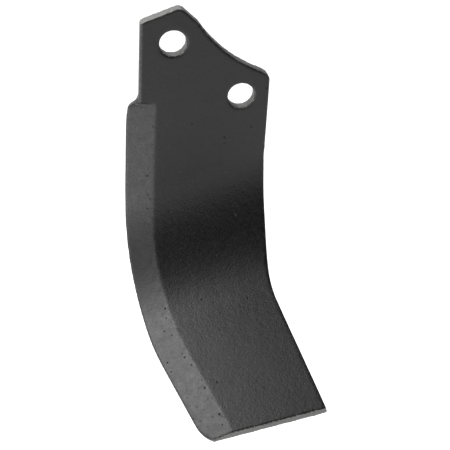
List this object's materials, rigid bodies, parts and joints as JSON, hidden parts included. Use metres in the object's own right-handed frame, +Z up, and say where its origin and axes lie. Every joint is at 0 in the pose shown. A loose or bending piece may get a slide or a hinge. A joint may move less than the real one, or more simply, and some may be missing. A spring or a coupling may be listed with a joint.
{
  "type": "rotary tiller blade",
  "caption": "C-pattern rotary tiller blade: flat bolt-on shank with diagonal holes, pressed cutting bevel, edge-curved and bent to a cropped tip.",
  "frame": {"origin": "midway between the two bolt holes, on the flat back face that seats on the rotor flange", "axes": "+Z up the shank, towards the crown; -Y out of the hollow front face, the way the tip curls; +X from the cutting edge towards the plain side; +Y out of the back face, into the flange"},
  "size_m": [0.1069, 0.1399, 0.2278],
  "materials": {
    "blade": "semi-gloss black dip paint over forged spring steel, with fine grain, specks and pits"
  },
  "bodies": {
    "root": {"blade": "blade"}
  },
  "joints": []
}
